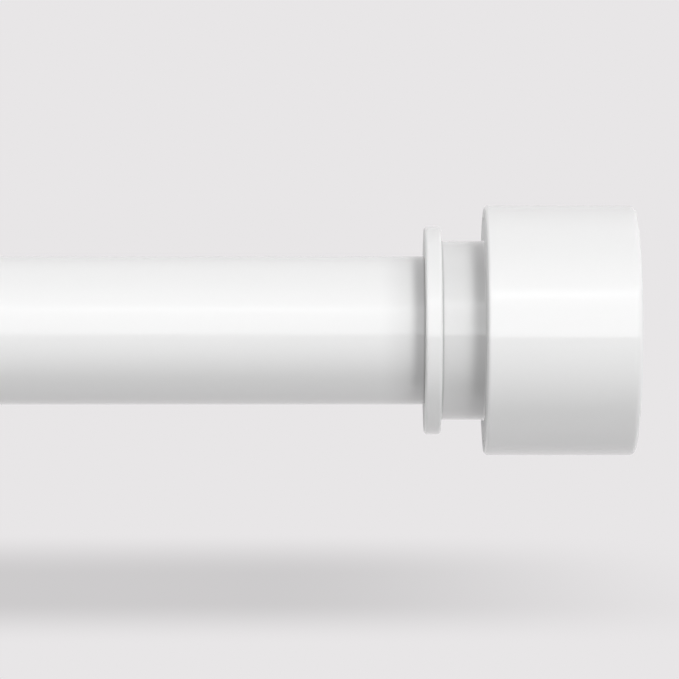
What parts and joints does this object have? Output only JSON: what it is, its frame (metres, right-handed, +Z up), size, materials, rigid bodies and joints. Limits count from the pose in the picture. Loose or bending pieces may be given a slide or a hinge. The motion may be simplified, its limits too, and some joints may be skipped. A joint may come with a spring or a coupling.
{
  "type": "curtain rod",
  "caption": "Adjustable round curtain rod in white gloss, with an inner tube that draws out to set the length and a stepped drum finial clamped on each end.",
  "frame": {"origin": "on the rod's axis, midway between the two finials as modelled", "axes": "+X along the rod towards the end with the outer tube, +Y towards the wall behind the rod, where the grub screws are, +Z up"},
  "size_m": [0.8338, 0.0426, 0.0426],
  "materials": {
    "tube_paint": "smooth white gloss powder coat on steel tube",
    "casting_paint": "smooth white gloss paint on a die casting",
    "drum_white": "white gloss moulding",
    "bearing_plastic": "satin natural white moulding",
    "screw_steel": "zinc plated"
  },
  "bodies": {
    "outer": {"outer_tube": "tube_paint", "mouth_liner": "bearing_plastic"},
    "slider": {"guide_bush": "bearing_plastic"},
    "inner": {"inner_tube": "tube_paint"},
    "right_finial": {"right_finial_base": "casting_paint", "right_finial_cap": "drum_white", "right_cap_screw": "screw_steel"},
    "right_grub": {"right_grub_screw": "screw_steel"},
    "left_finial": {"left_finial_base": "casting_paint", "left_finial_cap": "drum_white", "left_cap_screw": "screw_steel", "left_reducer_sleeve": "bearing_plastic"},
    "left_grub": {"left_grub_screw": "screw_steel"}
  },
  "joints": [
    {"name": "telescope_slide", "type": "slide", "parent": "outer", "child": "slider", "axis": [-1, 0, 0], "range_m": [-0.0502, 0.4572]},
    {"name": "inner_tube_twist", "type": "hinge", "parent": "slider", "child": "inner", "pos_m": [0, 0, 0], "axis": [1, 0, 0], "continuous": true},
    {"name": "right_finial_pull", "type": "slide", "parent": "outer", "child": "right_finial", "axis": [1, 0, 0], "range_m": [0, 0.07]},
    {"name": "left_finial_pull", "type": "slide", "parent": "inner", "child": "left_finial", "axis": [-1, 0, 0], "range_m": [0, 0.07]},
    {"name": "right_grub_screw_travel", "type": "slide", "parent": "right_finial", "child": "right_grub", "axis": [0, 1, 0], "range_m": [0, 0.0021]},
    {"name": "left_grub_screw_travel", "type": "slide", "parent": "left_finial", "child": "left_grub", "axis": [0, 1, 0], "range_m": [0, 0.0021]}
  ]
}
